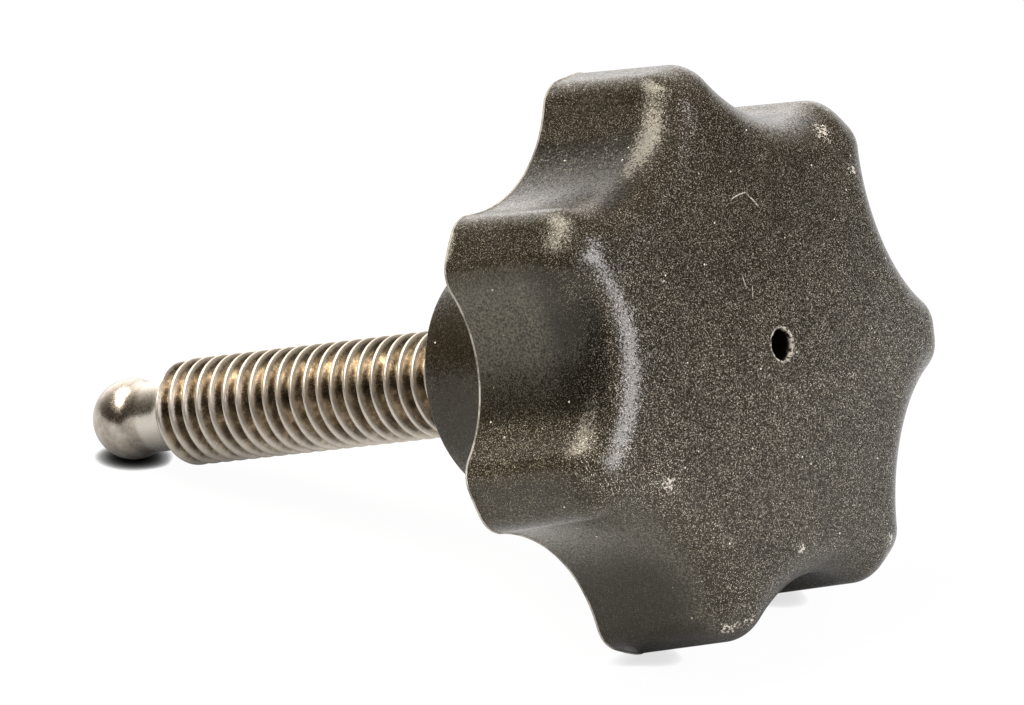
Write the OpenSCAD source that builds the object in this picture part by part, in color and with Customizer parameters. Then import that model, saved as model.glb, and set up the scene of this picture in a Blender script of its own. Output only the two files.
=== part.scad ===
// Star knob with a moulded-in M6 stud and a ball thrust point. Millimetres, +Z up.
// It lies as it comes to rest on a bench: on two tips of the grip's back rim and on the ball.
// Each piece is drawn on its own axis first: z = 0 is the back rim of the grip, the face of the
// grip is towards +z and the stud towards -z. at_rest() then lays it down.

/* [Star grip] */
// Across the lobe tips, at the back rim
star_d = 32; // [20:0.5:63]
// Lobes round the grip
lobe_count = 7; // [5:1:9]
// Radius of the hollow between two lobes, at the back rim
hollow_r = 7.4; // [4:0.1:14]
// From the axis to the centre of a hollow
hollow_centre = 20.45; // [12:0.05:40]
// Rounding of the two corners of a lobe, at the back rim
corner_r = 1.8; // [0.8:0.1:4]
// From the back rim to the middle of the domed face
grip_h = 10.4; // [6:0.1:24]
// Fall of the domed face from its middle to the lobe tips
dome_fall = 1.7; // [0:0.1:4]
// Rounding from the side wall to the face
face_round = 2.4; // [0.5:0.1:5]
// Draft of the side wall, in degrees
draft = 1.8; // [0:0.1:4]

/* [Hub] */
// Hub behind the grip, from the back rim to its end face
hub_h = 9.6; // [4:0.1:24]
// Hub diameter at its end face
hub_d = 13.3; // [8:0.1:30]
// Hub diameter at the back rim
hub_root_d = 13.9; // [8:0.1:32]
// Chamfer round the hub's end face
hub_chamfer = 0.2; // [0:0.1:1.5]

/* [Centre hole] */
// Blind hole in the middle of the face
hole_d = 1.7; // [0.5:0.1:4]
// Depth of the blind hole
hole_depth = 4; // [1:0.5:8]

/* [Stud] */
// Thread over its crests, for M6
thread_d = 5.9; // [3.9:0.05:12]
// Thread pitch
pitch = 1; // [0.5:0.05:1.75]
// Thread from the hub's end face to its free end
thread_l = 24; // [8:1:80]
// Ball of the thrust point
ball_d = 4.5; // [2.5:0.1:10]
// Neck between the thread and the ball
neck_d = 4; // [2:0.1:9]
// Thrust point from the free end of the thread to the top of the ball
point_l = 6; // [3:0.5:12]

/* [Moulded-in end] */
// Plain shank inside the hub
shank_d = 6; // [3:0.1:12.5]
// Hexagon collar that keeps the stud from turning, across corners
collar_d = 9; // [5:0.1:16]
// Thickness of the collar
collar_h = 3; // [1:0.5:6]
// From the hub's end face to the near side of the collar
collar_in = 9; // [3:0.5:16]

/* [Hidden] */
$fn = 96;
star_r = star_d / 2;
half_lobe = 180 / lobe_count;
thread_r = thread_d / 2;
thread_depth = 0.613 * pitch;
ball_r = ball_d / 2;
ball_centre = hub_h + thread_l + point_l - ball_r;   // from the back rim to the middle of the ball
corner_min = 0.8;          // a lobe corner never gets sharper than this as it rises to the face
valley_steps = 7;          // facets along half a hollow, a lobe corner and half a lobe tip
corner_steps = 4;
tip_steps = 2;
round_steps = 6;           // rings up the rounding to the face
dome_rings = [0.84, 0.66, 0.48, 0.3, 0.14];   // rings in over the dome, as a part of its edge
turn_steps = 24;           // facets round one turn of the thread

// ---- the grip: one outline, lofted up its drafted wall, over the rounding and in over the dome

function sq(x) = x * x;
function polar(r, a) = r * [cos(a), sin(a)];
function arc(c, r, a0, a1, n, first) = [for (i = [first : n]) c + polar(r, a0 + (a1 - a0) * i / n)];

// Angle from the middle of a hollow to the centre of a lobe's corner circle.
function corner_angle(r, rv, rc) =
    acos(min(1, (sq(hollow_centre) + sq(r - rc) - sq(rv + rc)) / (2 * hollow_centre * (r - rc))));

// Half a lobe, from the middle of a hollow at angle 0 to the middle of a lobe. The hollow, the
// corner and the tip are arcs that run into each other. Where the lobe is too narrow for two
// corners and a tip, one arc rounds its end.
function half_outline(r, rv, rc) = let (
        a = corner_angle(r, rv, rc),
        narrow = a >= half_lobe - 0.5,
        ac = narrow ? half_lobe : a,
        dc = narrow ? hollow_centre * cos(half_lobe)
                      - sqrt(max(0, sq(rv + rc) - sq(hollow_centre * sin(half_lobe)))) : r - rc,
        v = [hollow_centre, 0],
        c = polar(dc, ac),
        t = atan2(c[1], c[0] - hollow_centre)
    ) concat(
        arc(v, rv, 180, t, valley_steps, 0),
        arc(c, rc, t - 180, ac, narrow ? corner_steps + tip_steps : corner_steps, 1),
        narrow ? [] : arc([0, 0], r, ac, half_lobe, tip_steps, 1)
    );

function turn(p, a) = [p[0] * cos(a) - p[1] * sin(a), p[0] * sin(a) + p[1] * cos(a)];

// The whole outline, moved in by d from the one at the back rim.
function outline(d) = let (
        h = half_outline(star_r - d, hollow_r + d, max(corner_r - 0.6 * d, corner_min)),
        n = len(h)
    ) [for (k = [0 : lobe_count - 1]) each concat(
        [for (i = [0 : n - 1]) turn(h[i], 2 * half_lobe * k)],
        [for (i = [n - 2 : -1 : 1]) turn([h[i][0], -h[i][1]], 2 * half_lobe * (k + 1))]
    )];

function dome_z(p) = grip_h - dome_fall * (sq(p[0]) + sq(p[1])) / sq(star_r);

wall_h = grip_h - dome_fall - face_round;
wall_in = wall_h * tan(draft);

// One ring on the rounding, at angle f from the wall (0) to the face (90).
function round_ring(f) = [for (p = outline(wall_in + face_round * (1 - cos(f))))
    [p[0], p[1], dome_z(p) - face_round * (1 - sin(f))]];

rim = [for (p = outline(0)) [p[0], p[1], 0]];
face_edge = round_ring(90);
rings = concat(
    [rim],
    [for (i = [0 : round_steps]) round_ring(90 * i / round_steps)],
    [for (s = dome_rings) [for (p = face_edge) let (q = [s * p[0], s * p[1]]) [q[0], q[1], dome_z(q)]]]
);
ring_n = len(rim);

module star_grip() {
    top = len(rings) * ring_n;
    polyhedron(
        points = concat([for (r = rings) each r], [[0, 0, grip_h]]),
        faces = concat(
            [[for (i = [0 : ring_n - 1]) i]],
            [for (k = [0 : len(rings) - 2], i = [0 : ring_n - 1]) let (
                a = k * ring_n + i, b = k * ring_n + (i + 1) % ring_n)
                each [[a, a + ring_n, b], [b, a + ring_n, b + ring_n]]],
            [for (i = [0 : ring_n - 1]) [top - ring_n + i, top, top - ring_n + (i + 1) % ring_n]]
        ),
        convexity = 6
    );
}

module hub() {
    rotate_extrude() polygon([
        [0, 2], [hub_root_d / 2, 2], [hub_root_d / 2, 0], [hub_d / 2, -hub_h + hub_chamfer],
        [hub_d / 2 - hub_chamfer, -hub_h], [0, -hub_h]
    ]);
}

// The part of the stud that the moulding holds. The grip has a cavity of this very form.
module moulded_in_end() {
    translate([0, 0, -hub_h]) cylinder(d = shank_d, h = collar_in + 1);
    translate([0, 0, -hub_h + collar_in]) cylinder(d = collar_d, h = collar_h, $fn = 6);
}

module knob_body() {
    color([0.16, 0.15, 0.14]) at_rest() difference() {
        union() {
            star_grip();
            hub();
        }
        moulded_in_end();
        translate([0, 0, grip_h - hole_depth]) cylinder(d = hole_d, h = hole_depth + 1, $fn = 32);
    }
}

// ---- the stud: a true cylinder over the crests, cut by one helical groove

// Cross-section of the groove: how far from the axis, and how far along it from the middle.
root_half = 0.08 * pitch;
mouth_r = thread_r + 0.09;
mouth_half = root_half + (mouth_r - thread_r + thread_depth) * tan(30);

// Over its last turn at the hub the groove runs out of the metal.
function runout(t) = max(0, 1 - t) * (thread_depth - 0.02);

function groove_ring(t) = let (
        a = 360 * t, z = -hub_h - 0.75 * pitch - pitch * t,
        root = thread_r - thread_depth + runout(t)
    ) [
        [root * cos(a), -root * sin(a), z + root_half],
        [mouth_r * cos(a), -mouth_r * sin(a), z + mouth_half],
        [mouth_r * cos(a), -mouth_r * sin(a), z - mouth_half],
        [root * cos(a), -root * sin(a), z - root_half]
    ];

module thread_groove() {
    n = ceil((thread_l / pitch + 0.4) * turn_steps);
    polyhedron(
        points = [for (i = [0 : n]) each groove_ring(i / turn_steps)],
        faces = concat(
            [[3, 2, 1, 0]],
            [for (i = [0 : n - 1], j = [0 : 3]) let (
                a = 4 * i + j, b = 4 * i + (j + 1) % 4)
                each [[a, b, a + 4], [b, b + 4, a + 4]]],
            [[4 * n, 4 * n + 1, 4 * n + 2, 4 * n + 3]]
        ),
        convexity = 30
    );
}

module thread() {
    chamfer = thread_depth + 0.1;
    translate([0, 0, -hub_h]) mirror([0, 0, 1]) {
        cylinder(r = thread_r, h = thread_l - chamfer);
        translate([0, 0, thread_l - chamfer])
            cylinder(r1 = thread_r, r2 = thread_r - chamfer, h = chamfer);
    }
}

module threaded_stud() {
    color([0.72, 0.69, 0.62]) at_rest() {
        difference() {
            thread();
            thread_groove();
        }
        moulded_in_end();
        translate([0, 0, -ball_centre]) {
            cylinder(d = neck_d, h = ball_centre - hub_h - thread_l + 1);
            sphere(r = ball_r);
        }
    }
}

// ---- how it lies: the two rim tips and the ball touch z = 0

rim_reach = max([for (p = rim) p[0]]);
lie_angle = acos(ball_r / sqrt(sq(rim_reach) + sq(ball_centre))) - atan2(ball_centre, rim_reach);
lift = rim_reach * cos(lie_angle);
far_x = max([for (r = rings) each [for (p = r) p[0] * sin(lie_angle) + p[2] * cos(lie_angle)]]);
near_x = -ball_centre * cos(lie_angle) - ball_r;

module at_rest() {
    translate([-(far_x + near_x) / 2, 0, lift]) rotate([0, 90 - lie_angle, 0]) children();
}

knob_body();
threaded_stud();
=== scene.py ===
import bpy
import bmesh
import math
from mathutils import Matrix, Vector, noise


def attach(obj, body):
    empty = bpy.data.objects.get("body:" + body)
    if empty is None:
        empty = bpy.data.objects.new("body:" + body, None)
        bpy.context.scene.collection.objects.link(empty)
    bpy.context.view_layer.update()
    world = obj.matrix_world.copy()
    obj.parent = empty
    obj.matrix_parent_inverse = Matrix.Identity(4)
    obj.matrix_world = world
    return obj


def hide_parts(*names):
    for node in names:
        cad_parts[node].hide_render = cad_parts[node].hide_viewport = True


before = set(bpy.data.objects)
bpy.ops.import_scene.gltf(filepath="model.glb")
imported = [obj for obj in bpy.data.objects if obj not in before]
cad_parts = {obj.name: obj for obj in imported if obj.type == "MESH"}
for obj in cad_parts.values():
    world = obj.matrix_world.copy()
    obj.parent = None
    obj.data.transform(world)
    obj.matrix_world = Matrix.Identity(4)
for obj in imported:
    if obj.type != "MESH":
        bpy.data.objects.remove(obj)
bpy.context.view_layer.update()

# Millimetres, on the knob's own axis: z = 0 is the grip's back rim, the face is towards +z and
# the stud towards -z. Each finished piece is laid down as it rests on a bench.
MM = 0.001

# The star grip
STAR_R = 16.0
LOBES = 7
HOLLOW_R = 7.4
HOLLOW_CENTRE = 20.45
CORNER_R = 1.8
CORNER_MIN = 0.8
CORNER_TIGHTENS = 0.6           # off a corner's radius, for each millimetre inwards
GRIP_H = 10.4
DOME_FALL = 1.7
FACE_ROUND = 2.4
DRAFT = math.radians(1.8)
LIP_IN, LIP_H = 0.05, 0.1       # the small lip of the back rim

# The hub behind it
HUB_H = 9.6
HUB_R = 6.65
HUB_ROOT_R = 6.95
HUB_EDGE = 0.15
HUB_FILLET = 0.25
HUB_FACE_RINGS = (3.4, 4.6, 5.8)

# The blind hole in the middle of the face
HOLE_R = 0.85
HOLE_DEPTH = 4.0
HOLE_TAPER = 0.03               # of its radius, for each step down
MOUTH_R = HOLE_R + 0.12

# The stud
THREAD_R = 2.95
PITCH = 1.0
THREAD_DEPTH = 0.613 * PITCH
THREAD_L = 24.0
BALL_R = 2.25
NECK_R = 2.0
POINT_L = 6.0

# The end of the stud that the moulding holds
SHANK_R = 3.0
COLLAR_R = 4.5
COLLAR_H = 3.0
COLLAR_IN = 9.0

# Steps along each arc or stretch
HOLLOW_STEPS, CORNER_STEPS, TIP_STEPS = 15, 9, 6
HUB_EDGE_STEPS, HUB_SIDE_STEPS, HUB_FILLET_STEPS = 4, 12, 3
WALL_STEPS, ROUND_STEPS, FACE_STEPS, HOLE_STEPS = 14, 18, 16, 6
TURN_STEPS, FLANK_STEPS = 72, 4
NECK_STEPS, BALL_STEPS, POINT_TURN_STEPS = 6, 44, 96

# Edges flatter than this are shaded smooth.
GRIP_SMOOTH, STUD_SMOOTH = math.radians(50), math.radians(35)

HALF_LOBE = math.pi / LOBES
BALL_CENTRE = HUB_H + THREAD_L + POINT_L - BALL_R
THREAD_END = -HUB_H - THREAD_L
COLLAR_NEAR = -HUB_H + COLLAR_IN
COLLAR_FAR = COLLAR_NEAR + COLLAR_H
WALL_H = GRIP_H - DOME_FALL - FACE_ROUND
WALL_IN = WALL_H * math.tan(DRAFT)

# How it lies: two tips of the back rim and the ball touch the bench.
RIM_REACH = 14.8723
LIE = math.acos(BALL_R / math.hypot(RIM_REACH, BALL_CENTRE)) - math.atan2(BALL_CENTRE, RIM_REACH)
LIE_TURN = math.pi / 2 - LIE
LIE_PLACE = Vector((12.5234, 0.0, RIM_REACH * math.cos(LIE)))


# ---- shaping helpers

def select_none():
    if bpy.context.object and bpy.context.object.mode != "OBJECT":
        bpy.ops.object.mode_set(mode="OBJECT")
    bpy.ops.object.select_all(action="DESELECT")


def select_only(piece):
    select_none()
    piece.select_set(True)
    bpy.context.view_layer.objects.active = piece


def start_ring(name, points):
    """A circle whose corners are put on the points. Left in edit mode."""
    select_none()
    bpy.ops.mesh.primitive_circle_add(vertices=len(points), radius=STAR_R * MM)
    piece = bpy.context.object
    piece.name = piece.data.name = name
    bpy.ops.object.mode_set(mode="EDIT")
    bpy.ops.mesh.select_all(action="SELECT")
    mesh = bmesh.from_edit_mesh(piece.data)
    for vertex, point in zip(mesh.verts, points):
        vertex.co = Vector(point) * MM
    bmesh.update_edit_mesh(piece.data)
    return piece


def next_ring(piece, ring, points):
    """Extrudes the last ring and puts the new one on the given points."""
    bpy.ops.mesh.extrude_edges_move()
    mesh = bmesh.from_edit_mesh(piece.data)
    mesh.verts.ensure_lookup_table()
    new = []
    for index, point in zip(ring, points):
        old = mesh.verts[index]
        vertex = next(e.other_vert(old) for e in old.link_edges if e.other_vert(old).select)
        vertex.co = Vector(point) * MM
        new.append(vertex.index)
    bmesh.update_edit_mesh(piece.data)
    return new


def close_end(piece, point):
    """Extrudes the selected ring and draws it together at one point."""
    bpy.ops.mesh.extrude_edges_move()
    mesh = bmesh.from_edit_mesh(piece.data)
    for vertex in mesh.verts:
        if vertex.select:
            vertex.co = Vector(point) * MM
    bmesh.update_edit_mesh(piece.data)
    bpy.ops.mesh.merge(type="CENTER")


def loft(name, rings):
    """One closed piece through all the rings, with a point at either end."""
    piece = start_ring(name, rings[1])
    ring = list(range(len(rings[1])))
    for points in rings[2:-1]:
        ring = next_ring(piece, ring, points)
    close_end(piece, rings[-1][0])
    bpy.ops.mesh.select_all(action="DESELECT")
    mesh = bmesh.from_edit_mesh(piece.data)
    for edge in mesh.edges:
        if edge.is_boundary:
            edge.select_set(True)
    mesh.select_flush_mode()
    bmesh.update_edit_mesh(piece.data)
    close_end(piece, rings[0][0])
    face_outwards()
    bpy.ops.object.mode_set(mode="OBJECT")
    return piece


def face_outwards():
    bpy.ops.mesh.select_all(action="SELECT")
    bpy.ops.mesh.normals_make_consistent(inside=False)


def start_profile(name, profile):
    """An open line through (distance from the axis, place along it). Left in edit mode."""
    piece = start_ring(name, [(r, 0, z) for r, z in profile])
    mesh = bmesh.from_edit_mesh(piece.data)
    mesh.verts.ensure_lookup_table()
    ends = {mesh.verts[0], mesh.verts[len(profile) - 1]}
    for edge in mesh.edges:
        edge.select_set(set(edge.verts) == ends)
    bmesh.update_edit_mesh(piece.data)
    bpy.ops.mesh.select_mode(type="EDGE")
    bpy.ops.mesh.delete(type="EDGE")
    bpy.ops.mesh.select_mode(type="VERT")
    return piece


def lay_down(piece):
    """From the knob's own axis to the way it lies on the bench, applied to the mesh."""
    select_only(piece)
    piece.rotation_euler = (0, LIE_TURN, 0)
    piece.location = LIE_PLACE * MM
    bpy.ops.object.transform_apply(location=True, rotation=True, scale=True)


# ---- the grip's outline

def polar(r, a):
    return Vector((r * math.cos(a), r * math.sin(a)))


def arc(centre, r, a0, a1, steps, first):
    return [centre + polar(r, a0 + (a1 - a0) * i / steps) for i in range(first, steps + 1)]


def half_lobe(r, hollow, corner):
    """From the middle of a hollow to the middle of a lobe: hollow, corner and tip arcs."""
    reach = HOLLOW_CENTRE ** 2 + (r - corner) ** 2 - (hollow + corner) ** 2
    a = math.acos(min(1.0, reach / (2 * HOLLOW_CENTRE * (r - corner))))
    narrow = a >= HALF_LOBE - math.radians(0.5)
    at = r - corner
    if narrow:
        a = HALF_LOBE
        side = HOLLOW_CENTRE * math.sin(HALF_LOBE)
        across = math.sqrt(max(0, (hollow + corner) ** 2 - side ** 2))
        at = HOLLOW_CENTRE * math.cos(HALF_LOBE) - across
    v, c = Vector((HOLLOW_CENTRE, 0)), polar(at, a)
    t = math.atan2(c.y, c.x - HOLLOW_CENTRE)
    points = arc(v, hollow, math.pi, t, HOLLOW_STEPS, 0)
    if narrow:
        return points + arc(c, corner, t - math.pi, a, CORNER_STEPS + TIP_STEPS, 1)
    points += arc(c, corner, t - math.pi, a, CORNER_STEPS, 1)
    return points + arc(Vector((0, 0)), r, a, HALF_LOBE, TIP_STEPS, 1)


def star(inset):
    """The whole outline, moved in from the one at the back rim."""
    corner = max(CORNER_R - CORNER_TIGHTENS * inset, CORNER_MIN)
    half = half_lobe(STAR_R - inset, HOLLOW_R + inset, corner)
    points = []
    for k in range(LOBES):
        turn = Matrix.Rotation(2 * HALF_LOBE * k, 2)
        points += [turn @ p for p in half]
        turn = Matrix.Rotation(2 * HALF_LOBE * (k + 1), 2)
        points += [turn @ Vector((p.x, -p.y)) for p in half[-2:0:-1]]
    return points


RING_WAYS = [p.normalized() for p in star(0)]


def dome_z(x, y):
    return GRIP_H - DOME_FALL * (x * x + y * y) / STAR_R ** 2


# ---- the grip and hub, one moulding: every ring has a point on each of the outline's ways

def circle_ring(r, z):
    return [(r * a.x, r * a.y, z) for a in RING_WAYS]


def hexagon_ring(r, z):
    ring = []
    for a in RING_WAYS:
        turn = math.atan2(a.y, a.x) % (math.pi / 3) - math.pi / 6
        reach = r * math.cos(math.pi / 6) / math.cos(turn)
        ring.append((reach * a.x, reach * a.y, z))
    return ring


def rim_ring(inset, z):
    return [(p.x, p.y, z) for p in star(inset)]


def back_ring(part, edge):
    """Across the grip's flat back, from the hub's root (0) to the rim (1)."""
    root = HUB_ROOT_R + HUB_FILLET
    ring = []
    for (x, y, _), a in zip(edge, RING_WAYS):
        px, py = root * a.x, root * a.y
        ring.append((px + (x - px) * part, py + (y - py) * part, 0))
    return ring


def wall_ring(part):
    """One ring on the drafted side wall, from the lip of the back rim (0) to the rounding (1)."""
    outline = star(LIP_IN + (WALL_IN - LIP_IN) * part)
    return [(p.x, p.y, LIP_H + (dome_z(p.x, p.y) - FACE_ROUND - LIP_H) * part) for p in outline]


def round_ring(f):
    """One ring on the rounding, at the angle f from the wall to the face."""
    outline = star(WALL_IN + FACE_ROUND * (1 - math.cos(f)))
    return [(p.x, p.y, dome_z(p.x, p.y) - FACE_ROUND * (1 - math.sin(f))) for p in outline]


ROUND_BY_R = 9.5                # the circle that the face's rings turn to would reach so far out


def face_ring(part, edge):
    """One ring in over the dome. It turns from the star to a circle as it nears the hole."""
    blend = (1 - part) ** 2
    r = MOUTH_R + (ROUND_BY_R - MOUTH_R) * part
    ring = []
    for (x, y, _), a in zip(edge, RING_WAYS):
        px = (MOUTH_R * a.x + (x - MOUTH_R * a.x) * part) * (1 - blend) + r * a.x * blend
        py = (MOUTH_R * a.y + (y - MOUTH_R * a.y) * part) * (1 - blend) + r * a.y * blend
        ring.append((px, py, dome_z(px, py)))
    return ring


# The hole's mouth: how uneven it is, and the side on which it is chipped wider and deeper
UNEVEN_SCALE, UNEVEN_PLACE, UNEVEN_REACH = 2.3, 4.1, 0.08
CHIPPED_SIDE, CHIPPED_FROM = (0.62, 0.78), 0.55
CHIPPED_WIDER, CHIPPED_DEEPER = 0.35, 0.25


def mouth_ring(r, drop, ragged):
    """One ring of the hole's worn mouth. The noise makes it uneven and chipped on one side."""
    ring = []
    for a in RING_WAYS:
        uneven = noise.noise(Vector((a.x * UNEVEN_SCALE, a.y * UNEVEN_SCALE, UNEVEN_PLACE)))
        chip = max(0.0, CHIPPED_SIDE[0] * a.x + CHIPPED_SIDE[1] * a.y - CHIPPED_FROM) * 0.5
        reach = r + ragged * (UNEVEN_REACH * uneven + chip * CHIPPED_WIDER)
        z = dome_z(reach, 0) - drop - ragged * chip * CHIPPED_DEEPER
        ring.append((reach * a.x, reach * a.y, z))
    return ring


def cavity_rings():
    """The space that the stud's moulded-in end fills, out to the hub's end face."""
    return [circle_ring(0, COLLAR_FAR), hexagon_ring(COLLAR_R, COLLAR_FAR),
            hexagon_ring(COLLAR_R, COLLAR_NEAR), circle_ring(SHANK_R, COLLAR_NEAR),
            circle_ring(SHANK_R, -HUB_H)]


def hub_rings():
    """Over the hub's end face, round its edge, along its side and into the fillet at its root."""
    flat_r = HUB_R - HUB_EDGE
    rings = [circle_ring(r, -HUB_H) for r in (*HUB_FACE_RINGS, flat_r)]
    for i in range(1, HUB_EDGE_STEPS + 1):
        f = math.radians(90 * i / HUB_EDGE_STEPS)
        rings.append(circle_ring(flat_r + HUB_EDGE * math.sin(f),
                                 -HUB_H + HUB_EDGE * (1 - math.cos(f))))
    side = HUB_H - HUB_EDGE - HUB_FILLET
    for i in range(1, HUB_SIDE_STEPS + 1):
        part = i / HUB_SIDE_STEPS
        rings.append(circle_ring(HUB_R + (HUB_ROOT_R - HUB_R) * part,
                                 -HUB_H + HUB_EDGE + side * part))
    for i in range(1, HUB_FILLET_STEPS + 1):
        f = math.radians(90 * i / HUB_FILLET_STEPS)
        rings.append(circle_ring(HUB_ROOT_R + HUB_FILLET * (1 - math.cos(f)),
                                 HUB_FILLET * (math.sin(f) - 1)))
    return rings


def back_rings():
    """Across the flat back and round the small lip of its rim."""
    rim = rim_ring(LIP_IN, 0)
    rings = [back_ring(part, rim) for part in (0.2, 0.4, 0.6, 0.8, 0.95)]
    lip = ((0.12, 0), (0.02, 0), (0, 0.02), (0, 0.06), (LIP_IN, LIP_H))
    return rings + [rim_ring(inset, z) for inset, z in lip]


def side_rings():
    """Up the drafted wall and over the rounding to the face."""
    rings = [wall_ring(i / WALL_STEPS) for i in range(1, WALL_STEPS)]
    return rings + [round_ring(math.radians(90 * i / ROUND_STEPS)) for i in range(ROUND_STEPS + 1)]


def hole_rings():
    """The torn mouth of the blind hole, its slightly tapered wall and its floor."""
    mouth = ((0.07, 0.0, 0.8), (0.02, 0.04, 1), (-0.01, 0.12, 0.7), (0, 0.3, 0.2))
    rings = [mouth_ring(HOLE_R + wider, drop, ragged) for wider, drop, ragged in mouth]
    rings += [circle_ring(HOLE_R * (1 - HOLE_TAPER * i), GRIP_H - HOLE_DEPTH * i / HOLE_STEPS)
              for i in range(1, HOLE_STEPS)]
    floor = GRIP_H - HOLE_DEPTH
    return rings + [circle_ring(HOLE_R * 0.8, floor + 0.05), circle_ring(0, floor)]


def make_knob_body():
    rings = cavity_rings() + hub_rings() + back_rings() + side_rings()
    edge = rings[-1]
    rings += [face_ring(1 - i / FACE_STEPS, edge) for i in range(1, FACE_STEPS + 1)]
    piece = loft("knob_moulding", rings + hole_rings())
    select_only(piece)
    bpy.ops.object.shade_smooth_by_angle(angle=GRIP_SMOOTH)
    lay_down(piece)
    return piece


# ---- the stud

def thread_profile():
    """One pitch of the thread, from root to root: distance from the axis, and place along it."""
    root, root_half = THREAD_R - THREAD_DEPTH, 0.085 * PITCH
    middle, crest_half = 0.5 * PITCH, 0.085 * PITCH
    points = [(root, 0.0), (root, root_half * 0.6), (root + 0.02, root_half * 1.15)]
    low, high = (root + 0.075, root_half + 0.06), (THREAD_R - 0.06, middle - crest_half - 0.03)
    for i in range(FLANK_STEPS + 1):
        part = i / FLANK_STEPS
        points.append((low[0] + (high[0] - low[0]) * part, low[1] + (high[1] - low[1]) * part))
    points += [(THREAD_R - 0.018, middle - crest_half + 0.01),
               (THREAD_R - 0.003, middle - crest_half * 0.5), (THREAD_R, middle)]
    return points + [(r, PITCH - z) for r, z in points[-2::-1]]


def make_thread():
    """The thread's profile, swept round and along by a screw, then cut at both its ends."""
    start = -HUB_H + 1.5 * PITCH
    piece = start_profile("thread", [(r, start - z) for r, z in thread_profile()])
    bpy.ops.object.mode_set(mode="OBJECT")
    screw = piece.modifiers.new("sweep", "SCREW")
    screw.axis = "Z"
    screw.angle = -2 * math.pi
    screw.screw_offset = -PITCH * MM
    screw.iterations = int(THREAD_L / PITCH) + 3
    screw.steps = screw.render_steps = TURN_STEPS
    bpy.ops.object.modifier_apply(modifier=screw.name)
    bpy.ops.object.mode_set(mode="EDIT")
    bpy.ops.mesh.select_all(action="SELECT")
    bpy.ops.mesh.remove_doubles(threshold=0.000004)
    shape_thread_ends(piece)
    for z, side in ((-HUB_H, 1), (THREAD_END, -1)):
        bpy.ops.mesh.select_all(action="SELECT")
        bpy.ops.mesh.bisect(plane_co=(0, 0, z * MM), plane_no=(0, 0, side), use_fill=True,
                            clear_outer=True, threshold=0.0000001)
    face_outwards()
    bpy.ops.object.mode_set(mode="OBJECT")
    return piece


RUNOUT_FROM = 0.35 * PITCH      # from the hub's end face to where the groove is all filled
RUNOUT_R = THREAD_R - 0.05
CHAMFER = THREAD_DEPTH + 0.1


def shape_thread_ends(piece):
    """A 45 degree chamfer at the free end, and a groove that runs out at the hub."""
    mesh = bmesh.from_edit_mesh(piece.data)
    for vertex in mesh.verts:
        x, y, z = vertex.co / MM
        r = want = math.hypot(x, y)
        if r < RUNOUT_R:
            turns = (-HUB_H - RUNOUT_FROM - z) / PITCH
            fill = min(1.0, max(0.0, 1 - turns))
            want = r + (RUNOUT_R - r) * fill * fill * (3 - 2 * fill)
        want = min(want, THREAD_R - CHAMFER + max(0.0, z - THREAD_END))
        vertex.co = Vector((x * want / r, y * want / r, z)) * MM
    bmesh.update_edit_mesh(piece.data)


def make_thrust_point():
    """The neck and the ball, one profile spun round the stud's axis."""
    neck_r = NECK_R - 0.02
    foot = THREAD_END - 0.6
    join = -BALL_CENTRE + math.sqrt(BALL_R ** 2 - NECK_R ** 2) + 0.25
    profile = [(0, THREAD_END + 0.4), (NECK_R + 0.1, THREAD_END + 0.4), (NECK_R + 0.22, THREAD_END),
               (NECK_R + 0.08, THREAD_END - 0.1), (NECK_R + 0.01, THREAD_END - 0.28),
               (NECK_R - 0.01, foot)]
    profile += [(neck_r, foot + (join - foot) * i / NECK_STEPS) for i in range(1, NECK_STEPS + 1)]
    blend = math.asin(neck_r / BALL_R) + 0.06
    for i in range(BALL_STEPS + 1):
        a = blend + (math.pi - blend) * i / BALL_STEPS
        profile.append((BALL_R * math.sin(a), -BALL_CENTRE + BALL_R * math.cos(a)))
    piece = start_profile("thrust_point", profile)
    bpy.ops.mesh.select_all(action="SELECT")
    bpy.ops.mesh.spin(steps=POINT_TURN_STEPS, angle=2 * math.pi, center=(0, 0, 0), axis=(0, 0, 1))
    bpy.ops.mesh.select_all(action="SELECT")
    bpy.ops.mesh.remove_doubles(threshold=0.000001)
    face_outwards()
    bpy.ops.object.mode_set(mode="OBJECT")
    return piece


def cylinder(r, low, high, vertices):
    bpy.ops.mesh.primitive_cylinder_add(vertices=vertices, radius=r * MM, depth=(high - low) * MM,
                                        location=(0, 0, (low + high) / 2 * MM))
    return bpy.context.object


def make_moulded_end():
    """The plain shank and the hexagon collar that the moulding holds."""
    select_none()
    shank = cylinder(SHANK_R, -HUB_H - 0.4, COLLAR_NEAR, 72)
    collar = cylinder(COLLAR_R, COLLAR_NEAR, COLLAR_FAR, 6)
    bpy.ops.object.mode_set(mode="EDIT")
    bpy.ops.mesh.select_all(action="SELECT")
    bpy.ops.mesh.bevel(offset=0.08 * MM, segments=2, affect="EDGES")
    bpy.ops.object.mode_set(mode="OBJECT")
    return [shank, collar]


def make_threaded_stud():
    parts = [make_thread(), make_thrust_point()] + make_moulded_end()
    select_only(parts[0])
    for part in parts:
        part.select_set(True)
    bpy.ops.object.join()
    piece = bpy.context.object
    piece.name = piece.data.name = "steel_stud"
    bpy.ops.object.transform_apply(location=True, rotation=True, scale=True)
    bpy.ops.object.shade_smooth_by_angle(angle=STUD_SMOOTH)
    lay_down(piece)
    return piece


# ---- helpers for materials: each takes a node tree and returns an output

def new_material(name):
    material = bpy.data.materials.new(name)
    material.use_nodes = True
    tree = material.node_tree
    return material, tree, tree.nodes["Principled BSDF"]


def feed(tree, socket, value):
    """Sets a number, a vector or a colour on the socket, or links an output to it."""
    if isinstance(value, (int, float)):
        socket.default_value = value
    elif isinstance(value, tuple):
        socket.default_value = (*value, 1) if len(socket.default_value) == 4 else value
    else:
        tree.links.new(value, socket)


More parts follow.
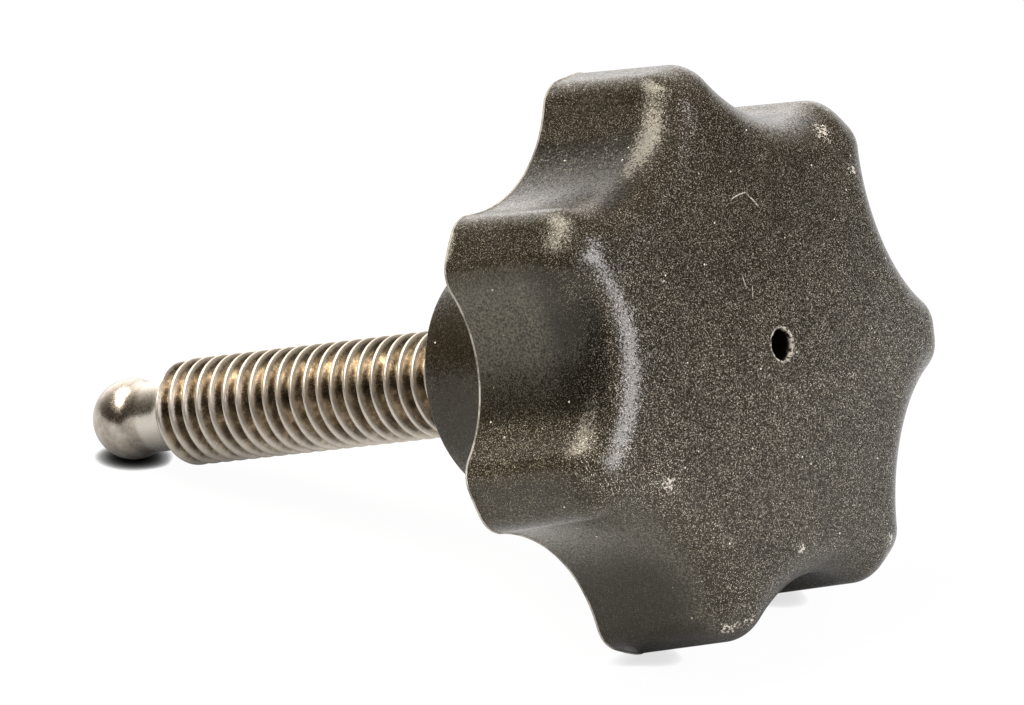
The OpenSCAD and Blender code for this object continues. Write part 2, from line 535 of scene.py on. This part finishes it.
def arithmetic(tree, operation, *values, clamp=False):
    node = tree.nodes.new("ShaderNodeMath")
    node.operation = operation
    node.use_clamp = clamp
    for socket, value in zip(node.inputs, values):
        feed(tree, socket, value)
    return node.outputs[0]


def product_of(tree, first, *others):
    for value in others:
        first = arithmetic(tree, "MULTIPLY", first, value)
    return first


def sum_of(tree, first, *others):
    for value in others:
        first = arithmetic(tree, "ADD", first, value, clamp=True)
    return first


def vector_math(tree, operation, *values):
    node = tree.nodes.new("ShaderNodeVectorMath")
    node.operation = operation
    for socket, value in zip(node.inputs, values):
        feed(tree, socket, value)
    return node.outputs["Value" if operation in ("DOT_PRODUCT", "DISTANCE", "LENGTH") else "Vector"]


def fade(tree, value, start, end, low=0.0, high=1.0):
    """Smoothly from low to high as the value goes from start to end."""
    node = tree.nodes.new("ShaderNodeMapRange")
    node.interpolation_type = "SMOOTHSTEP"
    for name, number in (("From Min", start), ("From Max", end), ("To Min", low), ("To Max", high)):
        node.inputs[name].default_value = number
    tree.links.new(value, node.inputs["Value"])
    return node.outputs["Result"]


def ramp_of(tree, value, stops):
    """A colour ramp through (position, colour) stops."""
    node = tree.nodes.new("ShaderNodeValToRGB")
    ramp = node.color_ramp
    while len(ramp.elements) < len(stops):
        ramp.elements.new(0.5)
    for element, (position, colour) in zip(ramp.elements, stops):
        element.position = position
        element.color = (*colour, 1)
    tree.links.new(value, node.inputs["Fac"])
    return node.outputs["Color"]


def blend_colour(tree, factor, first, second, mode="MIX"):
    node = tree.nodes.new("ShaderNodeMix")
    node.data_type = "RGBA"
    node.blend_type = mode
    feed(tree, node.inputs["Factor"], factor)
    feed(tree, node.inputs[6], first)
    feed(tree, node.inputs[7], second)
    return node.outputs[2]


def knob_axes(tree):
    """Object coordinates in millimetres, turned back to the knob's own axis."""
    coordinates = tree.nodes.new("ShaderNodeTexCoord")
    mapping = tree.nodes.new("ShaderNodeMapping")
    turn = Matrix.Rotation(-LIE_TURN, 3, "Y")
    mapping.inputs["Location"].default_value = turn @ -LIE_PLACE
    mapping.inputs["Rotation"].default_value = (0, -LIE_TURN, 0)
    mapping.inputs["Scale"].default_value = (1 / MM,) * 3
    tree.links.new(coordinates.outputs["Object"], mapping.inputs["Vector"])
    return mapping.outputs["Vector"]


def parts_of(tree, place):
    """The x, y and z of a place."""
    split = tree.nodes.new("ShaderNodeSeparateXYZ")
    tree.links.new(place, split.inputs["Vector"])
    return tuple(split.outputs)


def from_axis(tree, place):
    """How far a place is from the knob's axis."""
    return vector_math(tree, "LENGTH", vector_math(tree, "MULTIPLY", place, (1.0, 1.0, 0.0)))


def noise_of(tree, place, scale, detail, roughness):
    node = tree.nodes.new("ShaderNodeTexNoise")
    for name, value in (("Scale", scale), ("Detail", detail), ("Roughness", roughness)):
        node.inputs[name].default_value = value
    tree.links.new(place, node.inputs["Vector"])
    return node.outputs["Fac"]


def cells(tree, place, scale):
    """Small cells, as many to a millimetre as the scale says. Returns the node."""
    node = tree.nodes.new("ShaderNodeTexVoronoi")
    node.inputs["Scale"].default_value = scale
    tree.links.new(place, node.inputs["Vector"])
    return node


def chance_in(tree, cell):
    """A random number for each cell."""
    split = tree.nodes.new("ShaderNodeSeparateColor")
    tree.links.new(cell.outputs["Color"], split.inputs["Color"])
    return split.outputs["Red"]


def bumped(tree, height, depth):
    """Normals for a surface that the height makes uneven, by at most the depth in millimetres."""
    bump = tree.nodes.new("ShaderNodeBump")
    bump.inputs["Strength"].default_value = 1.0
    bump.inputs["Distance"].default_value = depth * MM
    tree.links.new(height, bump.inputs["Height"])
    return bump.outputs["Normal"]


def facets(tree, cell, tilt, normal):
    """Each small cell of the surface leans its own way, so the light catches a few at a time."""
    way = vector_math(tree, "MULTIPLY_ADD", cell.outputs["Color"], (2.0,) * 3, (-1.0,) * 3)
    steep = vector_math(tree, "MULTIPLY", vector_math(tree, "MULTIPLY", way, way), (tilt,) * 3)
    lean = vector_math(tree, "MULTIPLY", way, steep)
    return vector_math(tree, "NORMALIZE", vector_math(tree, "ADD", normal, lean))


def tones(colour, factor, low=0.3, high=0.7):
    """Two stops: a colour, and the same colour times the factor."""
    return [(low, colour), (high, tuple(factor * c for c in colour))]


# Noises: their scale, in lumps to a millimetre, their detail and their roughness
CLOUD_NOISE, PATCH_NOISE = (0.22, 3.0, 0.6), (0.9, 2.0, 0.6)
GRIT_NOISE, PIT_NOISE, LUMP_NOISE = (5.0, 3.0, 0.7), (8.0, 1.0, 0.5), (3.5, 2.0, 0.6)
SMEAR_NOISE, FINE_NOISE = (0.9, 4.0, 0.7), (7.0, 3.0, 0.65)


# ---- marks of use on the plastic

# Chips: where, and how far they reach
CHIPPED = [((4.6, -10.6, 9.5), 1.3), ((13.6, -7.0, 7.9), 1.4), ((13.6, -5.9, 8.5), 1.0),
           ((12.7, 6.2, 9.0), 1.0), ((-9.5, 9.0, 9.0), 1.5), ((-7.0, 10.2, 9.4), 1.1),
           ((10.95, -1.7, 9.6), 0.9), ((0.75, 0.97, 10.4), 0.42)]
# Scratches: the brightest spot, how far they reach, the middle of their arc, and their width
SCRATCHED = [((-8.40, 0.05, 9.95), 0.85, (-5.0, 0.1, 10.0), 0.045),
             ((-7.83, 1.05, 9.98), 0.65, (-4.6, -4.0, 10.2), 0.055),
             ((-4.0, -1.6, 10.3), 0.5, (-4.2, 3.5, 10.3), 0.04),
             ((-3.3, -1.2, 10.3), 0.4, (-1.0, 5.0, 10.3), 0.035)]
# Where the noise is high enough to break the skin: at a chip's middle, and more at its reach
CHIP_LEVEL, CHIP_RISE, CHIP_EDGE = 0.44, 0.34, 0.05
SCRATCH_BREAKS, SCRATCH_CORE, SCRATCH_FULL = (0.39, 0.52), 0.3, 0.45
TORN_BREAKS, TORN_Z = (0.43, 0.51), (10.0, 10.2)
TORN_AWAY = (HOLE_R + 0.17, HOLE_R + 0.09)


def chip(tree, place, grit, spot, reach):
    """A pale broken patch round the spot, thinning out to its reach."""
    near = vector_math(tree, "DISTANCE", place, spot)
    level = arithmetic(tree, "MULTIPLY_ADD", near, CHIP_RISE / reach, CHIP_LEVEL)
    return fade(tree, arithmetic(tree, "SUBTRACT", grit, level), 0.0, CHIP_EDGE)


def scratch(tree, place, grit, spot, reach, centre, width):
    """A broken pale line on an arc about the centre, through the spot and as far as its reach."""
    radius = (Vector(spot) - Vector(centre)).length
    away = vector_math(tree, "DISTANCE", place, centre)
    off = arithmetic(tree, "ABSOLUTE", arithmetic(tree, "SUBTRACT", away, radius))
    line = fade(tree, off, width, width * SCRATCH_CORE)
    here = fade(tree, vector_math(tree, "DISTANCE", place, spot), reach, reach * SCRATCH_FULL)
    broken = fade(tree, grit, *SCRATCH_BREAKS)
    return product_of(tree, line, here, broken)


def worn_skin(tree, place, away):
    """Where the pale marks of use are: chipped edges, scratches, and the hole's torn rim."""
    grit = noise_of(tree, place, *GRIT_NOISE)
    marks = [chip(tree, place, grit, *values) for values in CHIPPED]
    marks += [scratch(tree, place, grit, *values) for values in SCRATCHED]
    torn = product_of(tree, fade(tree, away, *TORN_AWAY), fade(tree, grit, *TORN_BREAKS),
                      fade(tree, parts_of(tree, place)[2], *TORN_Z))
    return sum_of(tree, *marks, torn)


# ---- the moulded plastic

FLECK, FLECK_POWER = 28.0, 12.0
FACET, FACET_TILT = 14.0, 0.20
LUMP = 0.010
ROUGH = 0.21
PLASTIC_IOR = 1.43
WARM_SHEEN = (1.0, 0.93, 0.80)
DARK = (0.009, 0.0068, 0.0036)
# The pale flecks' colour: part filler, part painted glints
PALE = (0.46, 0.405, 0.315)
# The film's colour: part dust, part painted reflection of the bench
DUST_AND_REFLECTION = (0.068, 0.062, 0.046)
SPECK = (0.5, 0.47, 0.40)
WORN_RIM = (0.36, 0.33, 0.28)
WORN_MARK = (0.36, 0.325, 0.265)
# Painted shade inside the hole
HOLE_SHADE = (0.004, 0.003, 0.002)

# The way the lamps light the grip from, whose side gets the most pale flecks as painted light, and
# the way the grip's back looks
PAINTED_LIGHT_WAY = (0.65, 0.0, 0.74)
BACK_WAY = (-math.sin(LIE_TURN), 0.0, -math.cos(LIE_TURN))

# Where each part of the skin fades in, in millimetres along x, z or away from the axis
# The low walls are kept dark, with fewer flecks and no film: painted shade
LOW_WALL_X, LOW_WALL_Z = (6.0, 10.5), (9.8, 4.0)
# The hollows on one side get fewer flecks and a darker strip: painted shade
HOLLOW_AWAY, HOLLOW_Z, HOLLOW_X = (14.2, 13.2), (9.0, 8.2), (5.0, 1.0)
GRIP_Z = (0.0, 0.5)
# Where the film of dust and painted reflection lies, and where it thins as painted shade
DUST_REFLECTION_Z, DUST_REFLECTION_BACK_Z, DUST_REFLECTION_AWAY = (6.5, 4.5), (-1.0, 0.0), (15.7, 14.9)
DUST_REFLECTION_HIGHER_X, DUST_REFLECTION_HIGHER = (3.0, 5.0), 2.5
THIN_DUST_REFLECTION_X, THIN_DUST_REFLECTION_END_X = (-6.0, 0.0), (4.5, 2.5)
RIM_Z, RIM_BACK_Z = (0.12, 0.09), (-0.10, -0.06)
# How far the painted shade inside the hole reaches
HOLE_SHADE_AWAY = (HOLE_R + 0.03, HOLE_R - 0.01)

# How far each part of the skin carries the flecks, which is painted light and shade: more on the
# side facing the lamps, fewer on the side facing away, on the low walls, at either end along x and
# in the hollows. And how dark the painted shade strip by the hollow is
FACING, AWAY_SHARE, LOW_WALL_SHARE = (-0.2, 0.6), 0.45, 0.36
UPPER_X, UPPER_SHARE = (-9.0, 5.0), (0.54, 0.90)
LOWER_X, LOWER_SHARE = (4.0, 10.0), (1.0, 0.86)
HOLLOW_SHARE, SHADE_STRIP_SHARE = 0.22, 0.14
CLOUDS, CLOUD_SHARE = (0.35, 0.65), (0.90, 1.10)
SHADE_STRIP_DARK = 0.45
SPECK_SCALE, SPECK_SIZE = 0.8, (0.055, 0.03)


def fleck_and_glint_share(tree, place, cloud, painted_light_side, hollow, painted_shade_strip):
    """How pale each fine cell is: few reach far. How many there are is painted light and shade:
    more on the side facing the lamps, fewer on the side facing away, at either end along x and in
    the hollows.
    """
    x = parts_of(tree, place)[0]
    in_hollow = fade(tree, hollow, 0.0, 1.0, 1.0, HOLLOW_SHARE)
    amount = product_of(
        tree, painted_light_side,
        fade(tree, x, *UPPER_X, *UPPER_SHARE), fade(tree, x, *LOWER_X, *LOWER_SHARE),
        arithmetic(tree, "MULTIPLY_ADD", painted_shade_strip, SHADE_STRIP_SHARE, in_hollow),
        fade(tree, cloud, *CLOUDS, *CLOUD_SHARE))
    fine = chance_in(tree, cells(tree, place, FLECK))
    return product_of(tree, arithmetic(tree, "POWER", fine, FLECK_POWER), amount)


def dust_and_reflection_share(tree, place, away, painted_light_side, low_wall):
    """A thin grey film on the walls of the hollows, broken by fine pits: part dust, part painted
    reflection of the bench. It lies low down and on the sides facing away from the lamps, and is
    thinner in a middle band of
    x and left off the low walls: painted shade.
    """
    x, _, z = parts_of(tree, place)
    height = arithmetic(tree, "MULTIPLY_ADD", fade(tree, x, *DUST_REFLECTION_HIGHER_X), -DUST_REFLECTION_HIGHER, z)
    thin = product_of(tree, fade(tree, x, *THIN_DUST_REFLECTION_X), fade(tree, x, *THIN_DUST_REFLECTION_END_X))
    pits = noise_of(tree, place, *PIT_NOISE)
    return product_of(
        tree, fade(tree, height, *DUST_REFLECTION_Z), fade(tree, painted_light_side, 0.9, 0.5),
        fade(tree, low_wall, 1.0, 0.0), fade(tree, z, *DUST_REFLECTION_BACK_Z),
        fade(tree, thin, 0.0, 1.0, 1.0, 0.55), fade(tree, away, *DUST_REFLECTION_AWAY, 0.35, 1.0),
        fade(tree, pits, 0.38, 0.62, 0.15, 1.0))


def worn_rim(tree, place, faces, patch):
    """The thin lip of the back rim, rubbed pale in places."""
    z = parts_of(tree, place)[2]
    backward = vector_math(tree, "DOT_PRODUCT", faces, BACK_WAY)
    return product_of(tree, fade(tree, z, *RIM_Z), fade(tree, z, *RIM_BACK_Z),
                      fade(tree, backward, 0.85, 0.6), fade(tree, patch, 0.35, 0.55, 0.3, 0.8))


def moulded_plastic():
    """Glass-filled plastic: dark and warm, with pale flecks, a glinting grain and marks of use.
    The flecks' share, a darker strip, a pale film and the hole's black are painted light and shade.
    """
    material, tree, shader = new_material("moulded_plastic")
    place = knob_axes(tree)
    x, _, z = parts_of(tree, place)
    away = from_axis(tree, place)
    faces = tree.nodes.new("ShaderNodeNewGeometry").outputs["Normal"]
    cloud = noise_of(tree, place, *CLOUD_NOISE)
    patch = noise_of(tree, place, *PATCH_NOISE)

    # Painted shade: the low walls get fewer flecks and no film
    low_wall = product_of(tree, fade(tree, x, *LOW_WALL_X), fade(tree, z, *LOW_WALL_Z))
    # Painted light: more pale flecks where the skin faces the way the lamps light it from
    facing = vector_math(tree, "DOT_PRODUCT", faces, PAINTED_LIGHT_WAY)
    painted_light_side = product_of(tree, fade(tree, facing, *FACING, AWAY_SHARE, 1.0),
                          fade(tree, low_wall, 0.0, 1.0, 1.0, LOW_WALL_SHARE))
    # Painted shade: fewer flecks in the hollows on one side
    hollow = product_of(tree, fade(tree, away, *HOLLOW_AWAY), fade(tree, z, *HOLLOW_Z),
                        fade(tree, x, *HOLLOW_X))
    painted_shade_strip = product_of(tree, hollow, fade(tree, z, *GRIP_Z))

    dark = ramp_of(tree, cloud, tones(DARK, 1.5))
    # The strip by the hollow gets a darker base: painted shade
    dark = blend_colour(tree, painted_shade_strip, dark, tuple(SHADE_STRIP_DARK * c for c in DARK))
    # The pale film: part dust, part painted reflection of the bench
    dark = blend_colour(tree, dust_and_reflection_share(tree, place, away, painted_light_side, low_wall), dark, DUST_AND_REFLECTION)
    pale = ramp_of(tree, patch, tones(PALE, 1.3))
    # The pale flecks: part filler, part painted glints, as many as the painted light allows
    flecks = fleck_and_glint_share(tree, place, cloud, painted_light_side, hollow, painted_shade_strip)
    colour = blend_colour(tree, flecks, dark, pale)
    specks = fade(tree, cells(tree, place, SPECK_SCALE).outputs["Distance"], *SPECK_SIZE)
    colour = blend_colour(tree, specks, colour, SPECK)
    colour = blend_colour(tree, worn_rim(tree, place, faces, patch), colour, WORN_RIM)
    colour = blend_colour(tree, worn_skin(tree, place, away), colour, WORN_MARK)
    # The hole's inside is painted black: painted shade
    painted_hole_shade = fade(tree, away, *HOLE_SHADE_AWAY)
    feed(tree, shader.inputs["Base Color"], blend_colour(tree, painted_hole_shade, colour, HOLE_SHADE))

    grain = bumped(tree, noise_of(tree, place, *LUMP_NOISE), LUMP)
    feed(tree, shader.inputs["Normal"], facets(tree, cells(tree, place, FACET), FACET_TILT, grain))
    feed(tree, shader.inputs["Roughness"], ROUGH)
    feed(tree, shader.inputs["IOR"], PLASTIC_IOR)
    feed(tree, shader.inputs["Specular Tint"], WARM_SHEEN)
    return material


# ---- the steel

# The grooves get darker, browner steel than the crests
GROOVE_TONES = [(0.36, (0.14, 0.112, 0.084)), (0.5, (0.25, 0.205, 0.15)), (0.62, (0.52, 0.44, 0.34))]
CREST_TONES = [(0.3, (0.50, 0.445, 0.38)), (0.7, (0.68, 0.61, 0.525))]
BALL_TONES = [(0.35, (0.30, 0.26, 0.215)), (0.65, (0.56, 0.495, 0.425))]
# The neck's steel is paler than the ball's: a painted highlight
NECK_HIGHLIGHT_TONE = (0.62, 0.57, 0.50)
STEEL_LUMP = 0.004
POLISHED, THREAD_DULL = (0.20, 0.30), 0.18
GROOVE_AWAY, GROOVE_UNEVEN = (2.89, 2.69), 0.06
THREADED_Z = (THREAD_END - 0.1, THREAD_END + 0.3)
NECK_Z = (-BALL_CENTRE + 1.7, -BALL_CENTRE + 2.1)


def stud_steel():
    """Bare steel: bright crests over darker brown grooves, a polished ball with a paler neck as a
    painted highlight, fine scratches.
    """
    material, tree, shader = new_material("stud_steel")
    place = knob_axes(tree)
    along = parts_of(tree, place)[2]
    smear = noise_of(tree, place, *SMEAR_NOISE)
    fine = noise_of(tree, place, *FINE_NOISE)

    threaded = fade(tree, along, *THREADED_Z)
    edge = arithmetic(tree, "MULTIPLY_ADD", fine, GROOVE_UNEVEN, from_axis(tree, place))
    groove = product_of(tree, threaded, fade(tree, edge, *GROOVE_AWAY))
    # A painted highlight: the neck gets paler steel than the ball
    neck = fade(tree, along, *NECK_Z)
    plain = blend_colour(tree, neck, ramp_of(tree, smear, BALL_TONES), NECK_HIGHLIGHT_TONE)
    clean = blend_colour(tree, threaded, plain, ramp_of(tree, smear, CREST_TONES))
    colour = blend_colour(tree, groove, clean, ramp_of(tree, smear, GROOVE_TONES))
    feed(tree, shader.inputs["Base Color"], colour)
    feed(tree, shader.inputs["Metallic"], 1.0)

    polished = fade(tree, fine, 0.3, 0.7, *POLISHED)
    dull = fade(tree, arithmetic(tree, "SUBTRACT", threaded, groove), 0.0, 1.0, 0.0, THREAD_DULL)
    feed(tree, shader.inputs["Roughness"], arithmetic(tree, "ADD", polished, dull))
    feed(tree, shader.inputs["Normal"], bumped(tree, fine, STEEL_LUMP))
    return material


# ---- the bench, the room and the light, in metres

GREY_BENCH = (0.8, 0.8, 0.8)
BENCH_SIZE = 6.0
BENCH_ROUGH = 0.9
BENCH_GLOW = 0.965              # how much of what is seen is plain white, and not the lit bench
# The contact shadow is painted into the bench's glow from how near the object is, not cast by the
# lamps; past the ball it is washed out. Reflections see the bench darkened near the object: painted
# shade.
CONTACT_REACH, CONTACT_POWER = 0.0009, 4.0
UNDER_REACH, UNDER_POWER = 0.006, 1.6
SHADOW_WASHED_X, SHADOW_WASHED = (-0.0195, -0.0165), 0.75


def closeness(tree, reach, power):
    """1 on open bench, towards 0 where something stands within reach."""
    near = tree.nodes.new("ShaderNodeAmbientOcclusion")
    near.inputs["Distance"].default_value = reach
    near.samples = 8
    return arithmetic(tree, "POWER", near.outputs["AO"], power)


def white_bench():
    """Seen and reflected, it glows white, with a contact shadow painted in from how near the object
    is and washed out by three quarters past the ball; reflections see painted shade near the
    object. To other light it is pale grey.
    """
    material, tree, shader = new_material("white_bench")
    feed(tree, shader.inputs["Base Color"], GREY_BENCH)
    feed(tree, shader.inputs["Roughness"], BENCH_ROUGH)
    feed(tree, shader.inputs["Specular IOR Level"], 0.0)
    path = tree.nodes.new("ShaderNodeLightPath")
    place = tree.nodes.new("ShaderNodeTexCoord").outputs["Object"]
    contact = closeness(tree, CONTACT_REACH, CONTACT_POWER)
    shadow_washed_out = fade(tree, parts_of(tree, place)[0], *SHADOW_WASHED_X, 0.0, SHADOW_WASHED)
    contact = arithmetic(tree, "ADD", contact, product_of(
        tree, shadow_washed_out, arithmetic(tree, "SUBTRACT", 1.0, contact)))
    level = tree.nodes.new("ShaderNodeMix")
    feed(tree, level.inputs["Factor"], path.outputs["Is Camera Ray"])
    feed(tree, level.inputs[2], closeness(tree, UNDER_REACH, UNDER_POWER))
    feed(tree, level.inputs[3], contact)
    glow = tree.nodes.new("ShaderNodeEmission")
    feed(tree, glow.inputs["Strength"], level.outputs[0])
    seen = sum_of(tree, path.outputs["Is Camera Ray"], path.outputs["Is Glossy Ray"],
                  path.outputs["Is Transmission Ray"])
    mix = tree.nodes.new("ShaderNodeMixShader")
    feed(tree, mix.inputs["Fac"], product_of(tree, seen, BENCH_GLOW))
    feed(tree, mix.inputs[1], shader.outputs["BSDF"])
    feed(tree, mix.inputs[2], glow.outputs["Emission"])
    feed(tree, tree.nodes["Material Output"].inputs["Surface"], mix.outputs["Shader"])
    return material


def make_floor():
    select_none()
    bpy.ops.mesh.primitive_plane_add(size=BENCH_SIZE, location=(0, 0, 0))
    floor = bpy.context.object
    floor.name = "bench"
    floor.data.materials.append(white_bench())


def towards(azimuth, elevation):
    """The way to a place round the object: azimuth 0 is in front, towards -Y, and 90 towards +X."""
    a, e = math.radians(azimuth), math.radians(elevation)
    return Vector((math.sin(a) * math.cos(e), -math.cos(a) * math.cos(e), math.sin(e)))


# The wall by its closeness to the way it is brightest in, and what the ceiling adds by its height
WALL_WAY = towards(-136, 9)
WALL_LEVELS = [(0.0, (0.04, 0.03, 0.02)), (0.5, (0.05, 0.04, 0.03)), (0.67, (0.09, 0.08, 0.065)),
               (0.82, (0.35, 0.33, 0.30)), (0.91, (1.05, 1.02, 0.97)), (0.97, (2.3, 2.2, 2.15)),
               (1.0, (2.6, 2.5, 2.45))]
TOP_LEVELS = [(0.0, (0.0,) * 3), (0.45, (0.0,) * 3), (0.8, (0.22, 0.2, 0.17)),
              (1.0, (0.3, 0.27, 0.22))]


def make_room():
    """White to the camera. The object sees a bright wall behind it and a dim room in front."""
    world = bpy.data.worlds.new("workshop")
    bpy.context.scene.world = world
    world.use_nodes = True
    tree = world.node_tree
    way = tree.nodes.new("ShaderNodeTexCoord").outputs["Generated"]
    wall = vector_math(tree, "DOT_PRODUCT", way, tuple(WALL_WAY))
    half = arithmetic(tree, "MULTIPLY_ADD", wall, 0.5, 0.5)
    top = ramp_of(tree, parts_of(tree, way)[2], TOP_LEVELS)
    room = blend_colour(tree, 1.0, ramp_of(tree, half, WALL_LEVELS), top, "ADD")
    camera_ray = tree.nodes.new("ShaderNodeLightPath").outputs["Is Camera Ray"]
    sky = tree.nodes["Background"]
    feed(tree, sky.inputs["Color"], blend_colour(tree, camera_ray, room, (1.0, 1.0, 1.0)))
    feed(tree, sky.inputs["Strength"], 1.0)


WARM_LIGHT, DAYLIGHT = (1.0, 0.96, 0.88), (0.84, 0.87, 1.0)
LAMP_AWAY = 0.6
# Each lamp: its name, azimuth and elevation, size in metres, power and colour
LAMPS = [("overhead_softbox", -35, 66, 0.50, 4.1, WARM_LIGHT),
         ("overhead_bulb", -31, 71, 0.26, 1.6, WARM_LIGHT),
         ("side_softbox", -92, 57, 0.27, 1.55, WARM_LIGHT),
         ("window_softbox", 87, 27, 0.40, 5.5, DAYLIGHT)]


def make_lamps():
    for name, azimuth, elevation, size, power, colour in LAMPS:
        way = towards(azimuth, elevation)
        bpy.ops.object.light_add(type="AREA", location=way * LAMP_AWAY)
        lamp = bpy.context.object
        lamp.name = name
        lamp.rotation_euler = way.to_track_quat("Z", "Y").to_euler()
        lamp.data.shape = "DISK"
        lamp.data.size = size
        lamp.data.energy = power
        lamp.data.color = colour
        lamp.visible_camera = False


CAMERA_PLACE = (0.636056, -0.793741, 0.398619)
CAMERA_TURN = (69.1691, -0.0526, 38.558)
CAMERA_LENS = 703.125


def make_camera():
    bpy.ops.object.camera_add(location=CAMERA_PLACE)
    camera = bpy.context.object
    camera.name = "bench_camera"
    camera.rotation_euler = [math.radians(angle) for angle in CAMERA_TURN]
    camera.data.sensor_width = 36.0
    camera.data.lens = CAMERA_LENS
    camera.data.clip_start = 0.01
    camera.data.clip_end = 20.0
    bpy.context.scene.camera = camera


make_floor()
make_room()
make_lamps()
make_camera()

knob_moulding = make_knob_body()
knob_moulding.data.materials.append(moulded_plastic())
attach(knob_moulding, "root")
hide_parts("knob_body")

steel_stud = make_threaded_stud()
steel_stud.data.materials.append(stud_steel())
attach(steel_stud, "root")
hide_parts("threaded_stud")

scene = bpy.context.scene
scene.view_settings.view_transform = "Standard"
